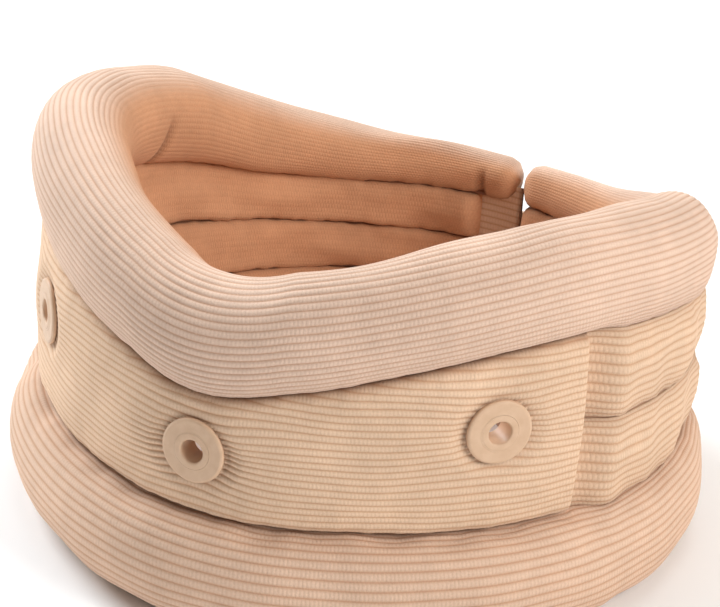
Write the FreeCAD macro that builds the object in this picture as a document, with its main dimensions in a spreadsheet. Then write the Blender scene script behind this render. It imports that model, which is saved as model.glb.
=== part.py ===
"""Soft cervical collar with a stiffened front, 1:1 in millimetres, +Z up.

The collar stands on its lower roll. -Y is the chin side, +Y the closure behind the neck,
+X the side to the right of someone who faces the chin. The origin is under the middle of
the collar, on the surface that it stands on.

Four foam strips lie one above the other all the way round: a lower roll, two channels and
an upper roll. The ribbed knit cover holds each strip in a tube of its own, sewn to the next
along a seam. A covered plate with three vent eyelets stiffens the front. The foam and the
cover are cut at two flex lines, where the wings spread to let the neck in.
"""
import FreeCAD, Part
import math
import os

import Sketcher
from FreeCAD import Placement, Rotation, Vector

os.makedirs("parts", exist_ok=True)
doc = FreeCAD.newDocument("cervical_collar")

# ---------------------------------------------------------------- driving dimensions

SIZES = {
    # plan of the wall's outer face: tangent arcs, each ending at an angle from the chin
    "nose_radius": 60.0,
    "nose_angle": 20.0,
    "flank_radius": 104.0,
    "flank_angle": 50.0,
    "cheek_radius": 80.0,
    "cheek_angle": 78.0,
    "side_radius": 95.0,
    "side_angle": 105.0,
    "corner_radius": 75.0,
    "corner_angle": 125.0,
    # heights of the seams between the strips
    "lower_seam_front": 31.0,
    "lower_seam_back": 29.0,
    "front_seam_height": 64.3,
    "side_seam_height": 81.0,
    "back_seam_height": 57.0,
    "side_peak_angle": 62.0,
    "back_level_angle": 158.0,
    # upper roll, at the front and sides and then at the thin ends behind the neck
    "upper_half_width": 12.8,
    "upper_half_height": 13.3,
    "upper_setback": 8.0,
    "end_half_width": 5.5,
    "end_half_height": 6.0,
    "end_setback": 0.5,
    # lower roll
    "lower_reach": 9.2,
    "lower_flat_angle": 144.0,
    "lower_depth": 14.5,
    "end_reach": 5.0,
    "end_depth": 6.5,
    # seams, measured out from the wall's outer face
    "seam_out": 2.0,
    "seam_in": 9.0,
    "end_seam_in": 4.0,
    "channel_bulge": 3.0,
    "panel_seat": 1.5,
    "panel_seat_bulge": 0.9,
    "thinning_starts": 95.0,
    # cover and foam
    "cover_thickness": 1.0,
    "foam_clearance": 0.2,
    "seam_gap": 0.05,
    "sole_trim": 0.05,
    # front panel
    "panel_end_angle": 65.5,
    "panel_step_angle": 80.0,
    "panel_edge_gap": 0.7,
    "plate_seat": -0.3,
    "plate_thickness": 1.6,
    "plate_inset": 3.0,
    "panel_cover_seat": 1.4,
    "panel_cover_thickness": 1.0,
    "panel_hem_seat": 2.5,
    "panel_hem_width": 5.0,
    "panel_hem_thickness": 0.7,
    # vent eyelets
    "vent_left_angle": 45.0,
    "vent_right_angle": 48.5,
    "vent_front_lift": 1.4,
    "vent_side_lift": 4.2,
    "vent_bore_radius": 3.4,
    "barrel_radius": 4.3,
    "drill_radius": 4.6,
    "flange_seat": 2.5,
    "flange_radius": 8.5,
    "flange_thickness": 1.2,
    "flange_chamfer": 0.4,
    "rim_radius": 4.9,
    "rim_height": 0.3,
    "washer_seat": 2.0,
    "washer_thickness": 1.0,
    "washer_clearance": 0.1,
    "well_radius": 9.0,
    # flex lines and closure
    "flex_angle": 95.0,
    "flex_gap": 0.4,
    "closure_offset": 7.5,
    "closure_gap": 2.0,
    "end_hem_length": 11.0,
    "end_hem_half_thickness": 3.0,
    "end_hem_rise": 11.6,
    # strap, as distances along the back from the closure
    "strap_low": 16.0,
    "strap_high": 50.0,
    "strap_tip": 38.0,
    "strap_root": 8.0,
    "strap_seat": 7.0,
    "strap_thickness": 1.2,
    "anchor_end": 24.0,
    "anchor_seat": 5.2,
    "anchor_thickness": 2.7,
    "hook_start": 8.0,
    "hook_inset": 1.5,
    "hook_seat": 6.15,
    "hook_thickness": 0.8,
    "loop_start": 5.0,
    "loop_end": 42.0,
    "loop_margin": 1.5,
    "loop_seat": 5.1,
    "loop_thickness": 0.8,
    "stitch_inset": 2.5,
    "stitch_width": 0.8,
    "stitch_height": 0.3,
}

sheet = doc.addObject("Spreadsheet::Sheet", "Sizes")
for row, (alias, value) in enumerate(SIZES.items(), start=1):
    sheet.set(f"A{row}", alias)
    sheet.set(f"B{row}", str(value))
    sheet.setAlias(f"B{row}", alias)
doc.recompute()


def size(alias):
    """A driving dimension, read back from the sheet."""
    return float(sheet.get(alias))


# ---------------------------------------------------------------- plan

def sin(degrees):
    return math.sin(math.radians(degrees))


def cos(degrees):
    return math.cos(math.radians(degrees))


def plan_arcs():
    """Plan arcs as (first angle, last angle, radius). The last one, behind the neck, has the
    radius that brings the plan back to the middle."""
    arcs = []
    first = half_width = 0.0
    for name in ("nose", "flank", "cheek", "side", "corner"):
        last, radius = size(name + "_angle"), size(name + "_radius")
        arcs.append((first, last, radius))
        half_width += radius * (sin(last) - sin(first))
        first = last
    return arcs + [(first, 360.0, half_width / sin(first))]


PLAN_ARCS = plan_arcs()
BACK_RADIUS = PLAN_ARCS[-1][2]
PLAN_DEPTH = sum(radius * (cos(first) - cos(min(last, 180.0))) for first, last, radius in PLAN_ARCS)
# the middle of the object's box, between the lower roll in front and the strap behind
STRAP_REACH = size("strap_seat") + size("strap_thickness")
MIDDLE = (PLAN_DEPTH + STRAP_REACH - size("lower_reach")) / 2


def outward(angle):
    """Unit vector that points out of the wall at this angle from the chin."""
    return Vector(sin(angle), -cos(angle), 0)


def place(angle, out, height):
    """Point at an angle from the chin, a distance out from the wall's face and a height.

    Negative angles are the mirror image, and angles past 180 run on round the back.
    """
    x = y = 0.0
    for first, last, radius in PLAN_ARCS:
        reached = min(max(abs(angle), first), last)
        x += radius * (sin(reached) - sin(first))
        y += radius * (cos(first) - cos(reached))
    foot = Vector(math.copysign(1, angle) * x, y - MIDDLE, height)
    return foot + outward(angle) * out


def behind(distance):
    """Angle of a point this far along the back from the closure, to the +X side."""
    return 180.0 - math.degrees((distance + size("closure_offset")) / BACK_RADIUS)


# ---------------------------------------------------------------- section of the wall

def ease(value, first, last):
    """0 before first, 1 after last, smooth between."""
    share = min(max((value - first) / (last - first), 0.0), 1.0)
    return share * share * (3 - 2 * share)


def swell(value, first, last):
    """Like ease, as half a cosine wave."""
    share = min(max((value - first) / (last - first), 0.0), 1.0)
    return (1 - math.cos(math.pi * share)) / 2


def mix(first, last, share):
    return first + (last - first) * share


def upper_seam(angle):
    """Height of the seam under the upper roll: low at the chin, highest below the ears."""
    angle = abs(angle)
    peak = size("side_peak_angle")
    if angle < peak:
        return mix(size("front_seam_height"), size("side_seam_height"), swell(angle, 0, peak))
    return mix(size("side_seam_height"), size("back_seam_height"),
               swell(angle, peak, size("back_level_angle")))


def lower_seam(angle):
    """Height of the seam over the lower roll, which drops a little behind the neck."""
    return mix(size("lower_seam_front"), size("lower_seam_back"),
               ease(abs(angle), size("thinning_starts"), size("back_level_angle")))


def middle_seam(angle):
    return (lower_seam(angle) + upper_seam(angle)) / 2


class Section:
    """Sizes of the wall's section at one angle, each face moved in by an inset."""

    def __init__(self, angle, inset=0.0):
        thin = ease(abs(angle), size("thinning_starts"), 180.0)
        beside_panel = ease(abs(angle), size("panel_end_angle") + 1.0, size("panel_step_angle"))
        self.low = lower_seam(angle)
        self.middle = middle_seam(angle)
        self.high = upper_seam(angle)
        self.inset = inset
        self.seam_out = mix(-size("panel_seat"), size("seam_out"), beside_panel) - inset
        self.seam_in = -mix(size("seam_in"), size("end_seam_in"), thin) + inset
        self.bulge_out = mix(size("panel_seat_bulge"), size("channel_bulge"), beside_panel)
        self.bulge_in = mix(size("channel_bulge"), size("end_depth") - size("end_seam_in"), thin)
        half_width = mix(size("upper_half_width"), size("end_half_width"), thin)
        self.roll_half_height = mix(size("upper_half_height"), size("end_half_height"), thin)
        self.roll_middle = -mix(size("upper_setback"), size("end_setback"), thin)
        self.roll_half_width = half_width - inset
        lower_thin = ease(abs(angle), size("thinning_starts"), size("lower_flat_angle"))
        self.lower_out = mix(size("lower_reach"), size("end_reach"), lower_thin) - inset
        self.lower_in = -mix(size("lower_depth"), size("end_depth"), thin) + inset
        self.foot_out = self.seam_out
        self.foot_in = self.seam_in

    def lower_roll(self, top, bottom):
        """Outer and inner face of the lower roll."""
        half = (top + bottom) / 2
        return (((self.foot_out, bottom), (self.lower_out, half), (self.seam_out, top)),
                ((self.seam_in, top), (self.lower_in, half), (self.foot_in, bottom)))

    def channel(self, bottom, top):
        """Outer and inner face of one channel."""
        half = (top + bottom) / 2
        return (((self.seam_out, bottom), (self.seam_out + self.bulge_out, half),
                 (self.seam_out, top)),
                ((self.seam_in, top), (self.seam_in - self.bulge_in, half),
                 (self.seam_in, bottom)))

    def upper_roll(self, bottom):
        """Outer and inner face of the upper roll, which meet at its crest."""
        crest = (self.roll_middle, self.high + 2 * self.roll_half_height - self.inset)
        waist = self.high + self.roll_half_height
        return (((self.seam_out, bottom), (self.roll_middle + self.roll_half_width, waist), crest),
                (crest, (self.roll_middle - self.roll_half_width, waist), (self.seam_in, bottom)))


def arc_edge(angle, points):
    return Part.Arc(*[place(angle, out, height) for out, height in points]).toShape()


def line_edge(angle, first, last):
    return Part.makeLine(place(angle, *first), place(angle, *last))


def closed_wire(angle, arcs):
    """Wire through a list of arcs, with a straight edge wherever two don't meet."""
    edges = []
    for arc, following in zip(arcs, arcs[1:] + arcs[:1]):
        edges.append(arc_edge(angle, arc))
        if math.dist(arc[-1], following[0]) > 1e-6:
            edges.append(line_edge(angle, arc[-1], following[0]))
    return Part.Wire(edges)


def strip_wire(strip, inset):
    """Function that gives one strip's outline at an angle, moved in by an inset."""
    gap = inset + size("seam_gap")

    def wire(angle):
        section = Section(angle, inset)
        faces = {
            "lower_roll": lambda: section.lower_roll(section.low - gap, inset - size("sole_trim")),
            "lower_channel": lambda: section.channel(section.low + gap, section.middle - gap),
            "upper_channel": lambda: section.channel(section.middle + gap, section.high - gap),
            "upper_roll": lambda: section.upper_roll(section.high + gap),
        }
        return closed_wire(angle, list(faces[strip]()))
    return wire


def slab_wire(near, far, bottom, top):
    """Function that gives a rectangle's outline; bottom and top are heights at an angle."""
    def wire(angle):
        corners = [(near, bottom(angle)), (far, bottom(angle)),
                   (far, top(angle)), (near, top(angle))]
        points = [place(angle, *corner) for corner in corners]
        return Part.makePolygon(points + points[:1])
    return wire


# ---------------------------------------------------------------- builders

STATION_STEP = 6.0
nodes = []


def keep(shape_object, label):
    """Name an object as one sub-part of the collar."""
    shape_object.Label = label
    nodes.append(shape_object)
    return shape_object


def feature(name, shape):
    """Document object that holds a finished shape."""
    holder = doc.addObject("Part::Feature", name)
    holder.Shape = shape
    holder.Placement = Placement()
    return holder


def stations(first, last):
    """Evenly spaced angles from first to last."""
    count = max(2, math.ceil((last - first) / STATION_STEP))
    return [mix(first, last, step / count) for step in range(count + 1)]


def bent(wire, first, last):
    """Solid that follows the plan from one angle to another."""
    shape = Part.makeLoft([wire(angle) for angle in stations(first, last)], True, False)
    if shape.Volume < 0:
        shape.reverse()
    return shape


def cut(name, base, tool):
    result = doc.addObject("Part::Cut", name)
    result.Base = base
    result.Tool = tool
    return result


STRIPS = ("lower_roll", "lower_channel", "upper_channel", "upper_roll")
SEWING_TOLERANCE = 0.001


def turned(length):
    """Angle that a length turns through on the side of the collar."""
    return math.degrees(length / size("side_radius"))


FLEX = size("flex_angle")
HALF_FLEX_GAP = turned(size("flex_gap") / 2)
ENDS = {
    # first and last angle of each part of the wall, and whether the cover closes there
    "front": (-FLEX + HALF_FLEX_GAP, FLEX - HALF_FLEX_GAP, False, False),
    "left": (behind(-size("closure_gap") / 2 - size("end_hem_length")) - 360.0,
             -FLEX - HALF_FLEX_GAP, True, False),
    "right": (FLEX + HALF_FLEX_GAP, behind(size("closure_gap") / 2), False, True),
}


def end_faces(outer_wire, inner_wire, closed):
    """Faces at one end of a tube: a cap inside a cap, or the cut edge of an open end."""
    if closed:
        return [Part.makeFace([outer_wire], "Part::FaceMakerBullseye"),
                Part.makeFace([inner_wire], "Part::FaceMakerBullseye").reversed()]
    return [Part.makeFace([outer_wire, inner_wire], "Part::FaceMakerBullseye")]


def cover_tube(strip, part):
    """Knit tube round one strip: its outer and inner skins joined at the ends."""
    first, last, closed_first, closed_last = ENDS[part]
    outer_wire = strip_wire(strip, 0.0)
    inner_wire = strip_wire(strip, size("cover_thickness"))
    outer_angles = stations(first, last)
    inner_angles = list(outer_angles)
    inner_angles[0] += turned(size("cover_thickness")) * closed_first
    inner_angles[-1] -= turned(size("cover_thickness")) * closed_last
    outer_wires = [outer_wire(angle) for angle in outer_angles]
    inner_wires = [inner_wire(angle) for angle in inner_angles]
    faces = list(Part.makeLoft(outer_wires, False, False).Faces)
    faces += [face.reversed() for face in Part.makeLoft(inner_wires, False, False).Faces]
    faces += end_faces(outer_wires[0], inner_wires[0], closed_first)
    faces += end_faces(outer_wires[-1], inner_wires[-1], closed_last)
    skin = Part.Compound(faces)
    skin.sewShape(SEWING_TOLERANCE)
    tube = Part.Solid(skin.Shells[0])
    tube.fix(SEWING_TOLERANCE, SEWING_TOLERANCE, SEWING_TOLERANCE)
    return tube


def foam_strip(strip, part):
    """Foam that fills one tube, with a little room all round."""
    first, last, closed_first, closed_last = ENDS[part]
    inset = size("cover_thickness") + size("foam_clearance")
    return bent(strip_wire(strip, inset), first + turned(inset) * closed_first,
                last - turned(inset) * closed_last)


# ---------------------------------------------------------------- vents

# angle from the chin and height above the middle of the panel
VENTS = {"left": (-size("vent_left_angle"), size("vent_side_lift")),
         "center": (0.0, size("vent_front_lift")),
         "right": (size("vent_right_angle"), size("vent_side_lift"))}
DRILL_DEPTH = 30.0
DRILL_OVERRUN = 5.0
WELL_DEPTH = 20.0


def vent_placement(side, out):
    """Placement whose Z axis points out of the wall through a vent."""
    angle, lift = VENTS[side]
    turn = Rotation(Vector(0, 0, 1), outward(angle))
    return Placement(place(angle, out, middle_seam(angle) + lift), turn)


def vent_drills():
    """Cylinders for each barrel, and for the well in the foam that its washer sits in."""
    drills = []
    for side in VENTS:
        drill = doc.addObject("Part::Cylinder", f"vent_drill_{side}")
        drill.setExpression("Radius", "Sizes.drill_radius")
        drill.Height = DRILL_DEPTH
        drill.Placement = vent_placement(side, DRILL_OVERRUN - DRILL_DEPTH)
        well = doc.addObject("Part::Cylinder", f"vent_well_{side}")
        well.setExpression("Radius", "Sizes.well_radius")
        well.Height = WELL_DEPTH
        well.Placement = vent_placement(side, -size("washer_seat") - WELL_DEPTH)
        drills += [drill, well]
    tool = doc.addObject("Part::MultiFuse", "vent_drills")
    tool.Shapes = drills
    return tool


def origin_plane(body, role):
    return next(plane for plane in body.Origin.OriginFeatures if plane.Role == role)


def turned_body(label, outline, placement):
    """Ring turned from an outline of (radius, height) expressions about its own Z axis."""
    body = doc.addObject("PartDesign::Body", label)
    sketch = body.newObject("Sketcher::SketchObject", label + "_profile")
    sketch.AttachmentSupport = [(origin_plane(body, "XZ_Plane"), "")]
    sketch.MapMode = "FlatFace"
    corners = [Vector(*[float(sheet.evalExpression(text)) for text in corner], 0)
               for corner in outline]
    for index, corner in enumerate(corners):
        sketch.addGeometry(Part.LineSegment(corner, corners[(index + 1) % len(corners)]))
    for index, corner in enumerate(corners):
        following = (index + 1) % len(corners)
        sketch.addConstraint(Sketcher.Constraint("Coincident", index, 2, following, 1))
        for kind, value, text in zip(("DistanceX", "DistanceY"), corner, outline[index]):
            number = sketch.addConstraint(Sketcher.Constraint(kind, -1, 1, index, 1, value))
            sketch.setExpression(f"Constraints[{number}]", text)
    turn = body.newObject("PartDesign::Revolution", label + "_turn")
    turn.Profile = sketch
    turn.ReferenceAxis = (sketch, ["V_Axis"])
    turn.Angle = 360.0
    body.Tip = turn
    body.Placement = placement
    return keep(body, label)


FLANGE_SEAT = "0"
BARREL_END = "-Sizes.flange_seat - Sizes.washer_seat - Sizes.washer_thickness"
EYELET_OUTLINE = (
    ("Sizes.vent_bore_radius", "Sizes.flange_thickness + Sizes.rim_height"),
    ("Sizes.rim_radius", "Sizes.flange_thickness + Sizes.rim_height"),
    ("Sizes.rim_radius", "Sizes.flange_thickness"),
    ("Sizes.flange_radius - Sizes.flange_chamfer", "Sizes.flange_thickness"),
    ("Sizes.flange_radius", "Sizes.flange_thickness - Sizes.flange_chamfer"),
    ("Sizes.flange_radius", FLANGE_SEAT),
    ("Sizes.barrel_radius", FLANGE_SEAT),
    ("Sizes.barrel_radius", BARREL_END),
    ("Sizes.vent_bore_radius", BARREL_END),
)
WASHER_OUTLINE = (
    ("Sizes.barrel_radius + Sizes.washer_clearance", "0"),
    ("Sizes.flange_radius", "0"),
    ("Sizes.flange_radius", "Sizes.washer_thickness"),
    ("Sizes.barrel_radius + Sizes.washer_clearance", "Sizes.washer_thickness"),
)


def make_vents():
    washer_face = -size("washer_seat") - size("washer_thickness")
    for side in VENTS:
        turned_body(f"vent_eyelet_{side}", EYELET_OUTLINE, vent_placement(side, size("flange_seat")))
        turned_body(f"eyelet_washer_{side}", WASHER_OUTLINE, vent_placement(side, washer_face))


# ---------------------------------------------------------------- wall and front panel

GROUND_SIDE = 300.0
GROUND_DEPTH = 10.0


def ground():
    """Block below the surface that the collar stands on; it trims the lower roll flat."""
    block = doc.addObject("Part::Box", "ground")
    block.Length = block.Width = GROUND_SIDE
    block.Height = GROUND_DEPTH
    block.Placement = Placement(Vector(-GROUND_SIDE / 2, -GROUND_SIDE / 2, -GROUND_DEPTH), Rotation())
    return block


def make_wall(drills):
    """Cover tubes and foam strips of the front and of both wings."""
    block = ground()
    for part in ENDS:
        for strip in STRIPS:
            cover = feature(f"{strip}_tube_{part}", cover_tube(strip, part))
            foam = feature(f"{strip}_core_{part}", foam_strip(strip, part))
            if strip == "lower_roll":
                cover = cut(f"{strip}_tube_trimmed_{part}", cover, block)
            if part == "front" and strip.endswith("channel"):
                cover = cut(f"{strip}_tube_drilled", cover, drills)
                foam = cut(f"{strip}_core_drilled", foam, drills)
            keep(cover, f"{strip}_cover_{part}")
            keep(foam, f"{strip}_foam_{part}")


def panel_layer(name, seat, thickness, inset, first, last):
    """Layer of the front panel, between the seams above and below it."""
    margin = size("panel_edge_gap") + inset
    wire = slab_wire(seat, seat + thickness,
                     lambda angle: lower_seam(angle) + margin,
                     lambda angle: upper_seam(angle) - margin)
    return feature(name, bent(wire, first, last))


def make_panel(drills):
    """Stiffening plate, the knit cover over it and the hem at each end."""
    last = size("panel_end_angle")
    plate_last = last - turned(size("plate_inset"))
    plate = panel_layer("plate_blank", size("plate_seat"), size("plate_thickness"),
                        size("plate_inset"), -plate_last, plate_last)
    keep(cut("plate_drilled", plate, drills), "support_plate")
    cover = panel_layer("panel_blank", size("panel_cover_seat"), size("panel_cover_thickness"),
                        0.0, -last, last)
    keep(cut("panel_drilled", cover, drills), "support_panel_cover")
    hem = turned(size("panel_hem_width"))
    for side, first_angle in (("left", -last), ("right", last - hem)):
        layer = panel_layer(f"panel_hem_blank_{side}", size("panel_hem_seat"),
                            size("panel_hem_thickness"), 0.0, first_angle, first_angle + hem)
        keep(layer, f"panel_hem_{side}")


# ---------------------------------------------------------------- closure behind the neck

def flat_strip(label, seat, thickness, from_angle, to_angle, margin):
    """Band that lies along the back at the strap's height, less a margin at each edge."""
    wire = slab_wire(seat, seat + thickness,
                     lambda angle: size("strap_low") + margin,
                     lambda angle: size("strap_high") - margin)
    return keep(feature(label + "_band", bent(wire, from_angle, to_angle)), label)


def make_stitching():
    """Rows of thread that hold the strap's anchor to the left wing, one solid a row."""
    seat = size("anchor_seat") + size("anchor_thickness")
    half_row = size("stitch_width") / 2
    rows = []
    for distance in (size("strap_root") + 2 * size("stitch_inset"),
                     size("anchor_end") - size("stitch_inset")):
        wire = slab_wire(seat, seat + size("stitch_height"),
                         lambda angle: size("strap_low") + size("stitch_inset"),
                         lambda angle: size("strap_high") - size("stitch_inset"))
        rows.append(bent(wire, behind(half_row - distance), behind(-half_row - distance)))
    keep(feature("stitch_rows", Part.makeCompound(rows)), "closure_stitching")


def make_closure():
    """Hem on the left end, and the hook strap that crosses to the loop patch on the right."""
    near, far = size("closure_gap") / 2, size("closure_gap") / 2 + size("end_hem_length")
    half = size("end_hem_half_thickness")
    middle = (size("seam_out") - size("end_seam_in")) / 2
    wire = slab_wire(middle - half, middle + half, lambda angle: size("seam_out"),
                     lambda angle: upper_seam(angle) + size("end_hem_rise"))
    keep(feature("end_hem_slab", bent(wire, behind(-near), behind(-far))), "end_hem_left")
    root = behind(-size("strap_root"))
    flat_strip("closure_strap", size("strap_seat"), size("strap_thickness"),
               behind(size("strap_tip")), root, 0.0)
    flat_strip("hook_pad", size("hook_seat"), size("hook_thickness"),
               behind(size("strap_tip") - size("hook_inset")), behind(size("hook_start")),
               size("hook_inset"))
    flat_strip("strap_anchor", size("anchor_seat"), size("anchor_thickness"),
               behind(-size("strap_root") - size("flex_gap")), behind(-size("anchor_end")), 0.0)
    flat_strip("loop_patch", size("loop_seat"), size("loop_thickness"),
               behind(size("loop_end")), behind(size("loop_start")), -size("loop_margin"))
    make_stitching()


# ---------------------------------------------------------------- build, check and write

def check(document_objects):
    """Stop on any object that failed, or on a sub-part with no sound shape."""
    failed = [item.Name for item in document_objects
              if "Invalid" in item.State or "Error" in item.State]
    unsound = [node.Label for node in nodes if node.Shape.isNull() or not node.Shape.isValid()]
    if failed or unsound:
        raise RuntimeError(f"failed: {failed}, unsound: {unsound}")


vent_tool = vent_drills()
make_wall(vent_tool)
make_panel(vent_tool)
make_vents()
make_closure()
doc.recompute()
check(doc.Objects)
for node in nodes:
    node.Shape.exportStep(f"parts/{node.Label}.step")
    print(f"{node.Label:28s} {node.Shape.Volume:10.1f} mm3  {len(node.Shape.Solids)} solid(s)")
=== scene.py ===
"""Looks of a soft cervical collar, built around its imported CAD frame.

Metres, +Z up, -Y the chin side. An angle is the azimuth, from the chin towards +X, of the
way the wall faces; u is a distance out from the wall's outer face. Each foam strip is a
padded tube of ribbed knit, whose ribs run along the collar.
"""
import math

import bmesh
import bpy
import numpy as np
from mathutils import Matrix, Vector


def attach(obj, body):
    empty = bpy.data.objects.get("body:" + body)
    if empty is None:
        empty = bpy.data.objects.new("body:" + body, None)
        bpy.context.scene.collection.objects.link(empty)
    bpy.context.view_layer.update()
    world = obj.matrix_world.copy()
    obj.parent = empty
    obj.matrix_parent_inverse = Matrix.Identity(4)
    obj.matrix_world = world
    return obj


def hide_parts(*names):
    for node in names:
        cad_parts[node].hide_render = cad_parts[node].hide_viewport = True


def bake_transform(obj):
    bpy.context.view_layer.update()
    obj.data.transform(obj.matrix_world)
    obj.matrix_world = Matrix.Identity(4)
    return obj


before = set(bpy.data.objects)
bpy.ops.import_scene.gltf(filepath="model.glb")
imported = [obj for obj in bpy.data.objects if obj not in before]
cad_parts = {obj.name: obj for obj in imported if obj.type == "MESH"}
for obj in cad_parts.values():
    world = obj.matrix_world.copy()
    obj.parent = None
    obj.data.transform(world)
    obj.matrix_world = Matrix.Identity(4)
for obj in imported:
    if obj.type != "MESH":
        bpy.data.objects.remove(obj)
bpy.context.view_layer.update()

MM = 0.001

# ---- driving dimensions

# plan of the wall's outer face: angle where each tangent arc ends, and its radius
PLAN_ARCS = ((20, 60 * MM), (50, 104 * MM), (78, 80 * MM), (105, 95 * MM), (125, 75 * MM))
LOWER_REACH, BACK_REACH = 9.2 * MM, 5 * MM
LOWER_FLAT_ANGLE = 144.0
STRAP_REACH = 8.2 * MM
LOW_SEAM, LOW_SEAM_BACK = 31 * MM, 29 * MM
SEAM_FRONT, SEAM_SIDE, SEAM_BACK = 64.3 * MM, 81 * MM, 57 * MM
SEAM_PEAK_ANGLE, SEAM_LEVEL_ANGLE = 62.0, 158.0
THINNING_STARTS = 95.0
PANEL_END_ANGLE = 65.5
PANEL_STEP_ANGLE = 73.5
# angle of each vent from the chin, and its height above the middle of the band
VENTS = {"left": (-45.0, 4.2 * MM), "center": (0.0, 1.4 * MM), "right": (48.5, 4.2 * MM)}
SPLIT_ANGLE = 80.0
FLEX_ANGLE, HINGE_REACH, BEND_REACH = 95.0, 9.6 * MM, 18.4 * MM

# knit
RIB_DEPTH = 0.24 * MM
PITCH = {"upper_roll": 1.65 * MM, "upper_channel": 1.85 * MM, "lower_channel": 1.85 * MM,
         "lower_roll": 2.0 * MM, "panel": 1.85 * MM}
RIB_SAMPLES = 6
STATION_LENGTH = 1.5 * MM
LINING_SAMPLE = 0.8 * MM
HIDDEN_SAMPLES = 5


# ---- plan and section

def ease(value, first, last):
    """0 before first, 1 after last, smooth between; first may be above last."""
    share = np.clip((value - first) / (last - first), 0.0, 1.0)
    return share * share * (3 - 2 * share)


def dome(share):
    """Quarter circle: 0 at 0, upright there, and level at 1."""
    return np.sqrt(np.clip(1 - (1 - np.clip(share, 0, 1)) ** 2, 0, 1))


def swell(value, first, last):
    share = np.clip((value - first) / (last - first), 0.0, 1.0)
    return (1 - np.cos(np.pi * share)) / 2


def mix(first, last, share):
    return first + (last - first) * share


def sin(degrees):
    return math.sin(math.radians(degrees))


def cos(degrees):
    return math.cos(math.radians(degrees))


def arc_rows():
    """Plan arcs as (first angle, last angle, radius), the one behind the neck worked out."""
    rows, first, half_width = [], 0.0, 0.0
    for last, radius in PLAN_ARCS:
        rows.append((first, last, radius))
        half_width += radius * (sin(last) - sin(first))
        first = last
    return rows + [(first, 360.0, half_width / sin(first))]


ARCS = arc_rows()
PLAN_DEPTH = sum(radius * (cos(first) - cos(min(last, 180.0))) for first, last, radius in ARCS)
MIDDLE = (PLAN_DEPTH + STRAP_REACH - LOWER_REACH) / 2


def place(angle, out, height):
    """Points at angles from the chin, distances out from the wall's face and heights."""
    angle, out, height = np.broadcast_arrays(np.asarray(angle, float), out, height)
    x, y = np.zeros(angle.shape), np.zeros(angle.shape)
    for first, last, radius in ARCS:
        reached = np.radians(np.clip(np.abs(angle), first, last))
        x = x + radius * (np.sin(reached) - sin(first))
        y = y + radius * (cos(first) - np.cos(reached))
    x = x * np.copysign(1.0, angle)
    turn = np.radians(angle)
    return np.stack([x + out * np.sin(turn), y - MIDDLE - out * np.cos(turn), height], -1)


def run_length(angle):
    """Distance along the wall's face from the chin, negative on the -X side."""
    length = np.zeros(np.shape(angle))
    for first, last, radius in ARCS:
        reached = np.clip(np.abs(angle), first, last)
        length = length + np.radians(reached - first) * radius
    return np.copysign(length, angle)


def angle_at(length):
    """The angle at a distance along the wall's face from the chin."""
    ends = np.array([0.0, *[min(last, 200.0) for _, last, _ in ARCS]])
    return np.copysign(np.interp(np.abs(length), run_length(ends), ends), length)


def upper_seam(angle):
    angle = np.abs(angle)
    return np.where(angle < SEAM_PEAK_ANGLE,
                    mix(SEAM_FRONT, SEAM_SIDE, swell(angle, 0, SEAM_PEAK_ANGLE)),
                    mix(SEAM_SIDE, SEAM_BACK, swell(angle, SEAM_PEAK_ANGLE, SEAM_LEVEL_ANGLE)))


def lower_seam(angle):
    return mix(LOW_SEAM, LOW_SEAM_BACK, ease(np.abs(angle), THINNING_STARTS, SEAM_LEVEL_ANGLE))


def middle_seam(angle):
    return (lower_seam(angle) + upper_seam(angle)) / 2


def vent_places():
    """Run length and height of each vent's axis on the wall."""
    return [(float(run_length(angle)), float(middle_seam(angle)) + lift)
            for angle, lift in VENTS.values()]


# sizes of the section, in front and thinned at the ends of the wall
THINNED = {key: (front * MM, end * MM) for key, front, end in (
    ("seam_in", -9, -4), ("bulge_in", 3, 2.5), ("half_width", 12.8, 5.5),
    ("half_height", 13.3, 6), ("roll_middle", -8, -0.5), ("lower_in", -14.5, -6.5))}


def section(angle):
    """Sizes of the wall's section at each angle, as in the CAD source."""
    angle = np.abs(angle)
    thin = ease(angle, THINNING_STARTS, 180.0)
    beside = ease(angle, PANEL_END_ANGLE + 1.0, PANEL_STEP_ANGLE)
    flat = ease(angle, THINNING_STARTS, LOWER_FLAT_ANGLE)
    return {
        "low": lower_seam(angle),
        "middle": middle_seam(angle),
        "high": upper_seam(angle),
        "seam_out": mix(-1.5 * MM, 2.0 * MM, beside),
        "bulge_out": mix(0.9 * MM, 3.0 * MM, beside),
        "lower_out": mix(LOWER_REACH, BACK_REACH, flat),
        **{key: mix(front, end, thin) for key, (front, end) in THINNED.items()},
    }


# ---- noise and wrinkles

WAVE_COUNT = 6


def waves(first, second, seed):
    """Smooth seeded noise, about -1 to 1, of two coordinates measured in wavelengths."""
    random = np.random.default_rng(seed)
    total = np.zeros(np.broadcast(first, second).shape)
    for _ in range(WAVE_COUNT):
        turn, phase = random.uniform(0, 2 * np.pi, 2)
        scale = random.uniform(0.6, 1.6)
        across = first * np.cos(turn) + second * np.sin(turn)
        total = total + np.sin(2 * np.pi * scale * across + phase)
    return total / math.sqrt(WAVE_COUNT)


def hump(value, middle, half_width):
    """A smooth rise from 0 to 1 and back, centred on middle."""
    return np.exp(-((value - middle) / half_width) ** 2)


# ---- outlines of the strips

STRIPS = ("lower_roll", "lower_channel", "upper_channel", "upper_roll")
FULLNESS = 0.95      # 1 is an ellipse, less is squarer


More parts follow.
